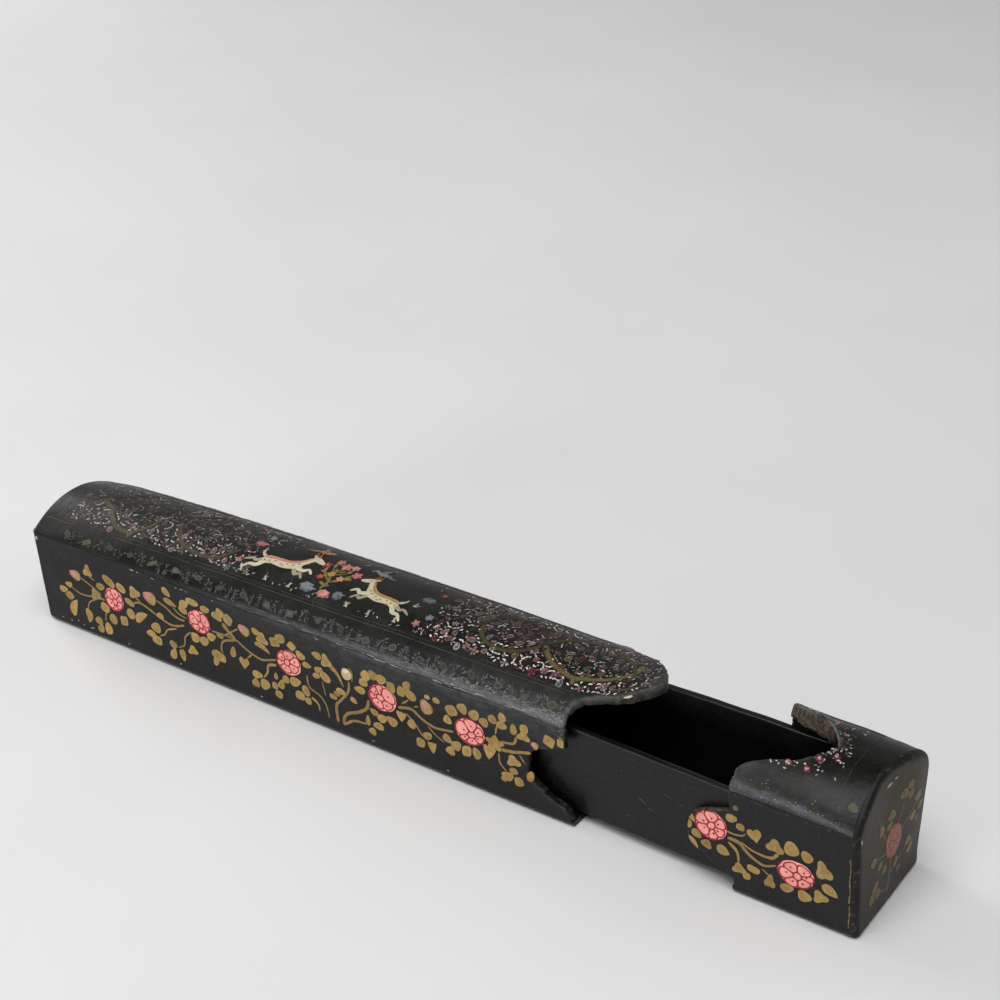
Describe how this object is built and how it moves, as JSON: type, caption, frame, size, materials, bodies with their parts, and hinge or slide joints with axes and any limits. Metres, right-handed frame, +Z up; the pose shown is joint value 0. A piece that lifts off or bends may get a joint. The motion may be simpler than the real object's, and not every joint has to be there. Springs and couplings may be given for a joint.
{
  "type": "pen case",
  "caption": "Long lacquered pasteboard pen case: a flat-sided sleeve with a low domed top, and a sliding tray that carries a matching end cap.",
  "frame": {"origin": "middle of the sleeve's underside, on the surface the case rests on", "axes": "+X along the case from the blind end towards the cap, +Y across it, +Z up"},
  "size_m": [0.311, 0.041, 0.044],
  "materials": {
    "sleeve_lacquer": "satin",
    "cap_lacquer": "satin",
    "tray_lacquer": "satin"
  },
  "bodies": {
    "sleeve": {"sleeve_floor": "sleeve_lacquer", "sleeve_near_wall": "sleeve_lacquer", "sleeve_far_wall": "sleeve_lacquer", "sleeve_domed_top": "sleeve_lacquer", "sleeve_end_board": "sleeve_lacquer"},
    "drawer": {"drawer_floor": "tray_lacquer", "drawer_near_side": "tray_lacquer", "drawer_far_side": "tray_lacquer", "drawer_back_board": "tray_lacquer", "drawer_front_board": "tray_lacquer", "cap_floor": "cap_lacquer", "cap_near_wall": "cap_lacquer", "cap_far_wall": "cap_lacquer", "cap_domed_top": "cap_lacquer", "cap_end_board": "cap_lacquer"}
  },
  "joints": [
    {"name": "drawer_slide", "type": "slide", "parent": "sleeve", "child": "drawer", "axis": [1, 0, 0], "range_m": [-0.052, 0.135]}
  ]
}
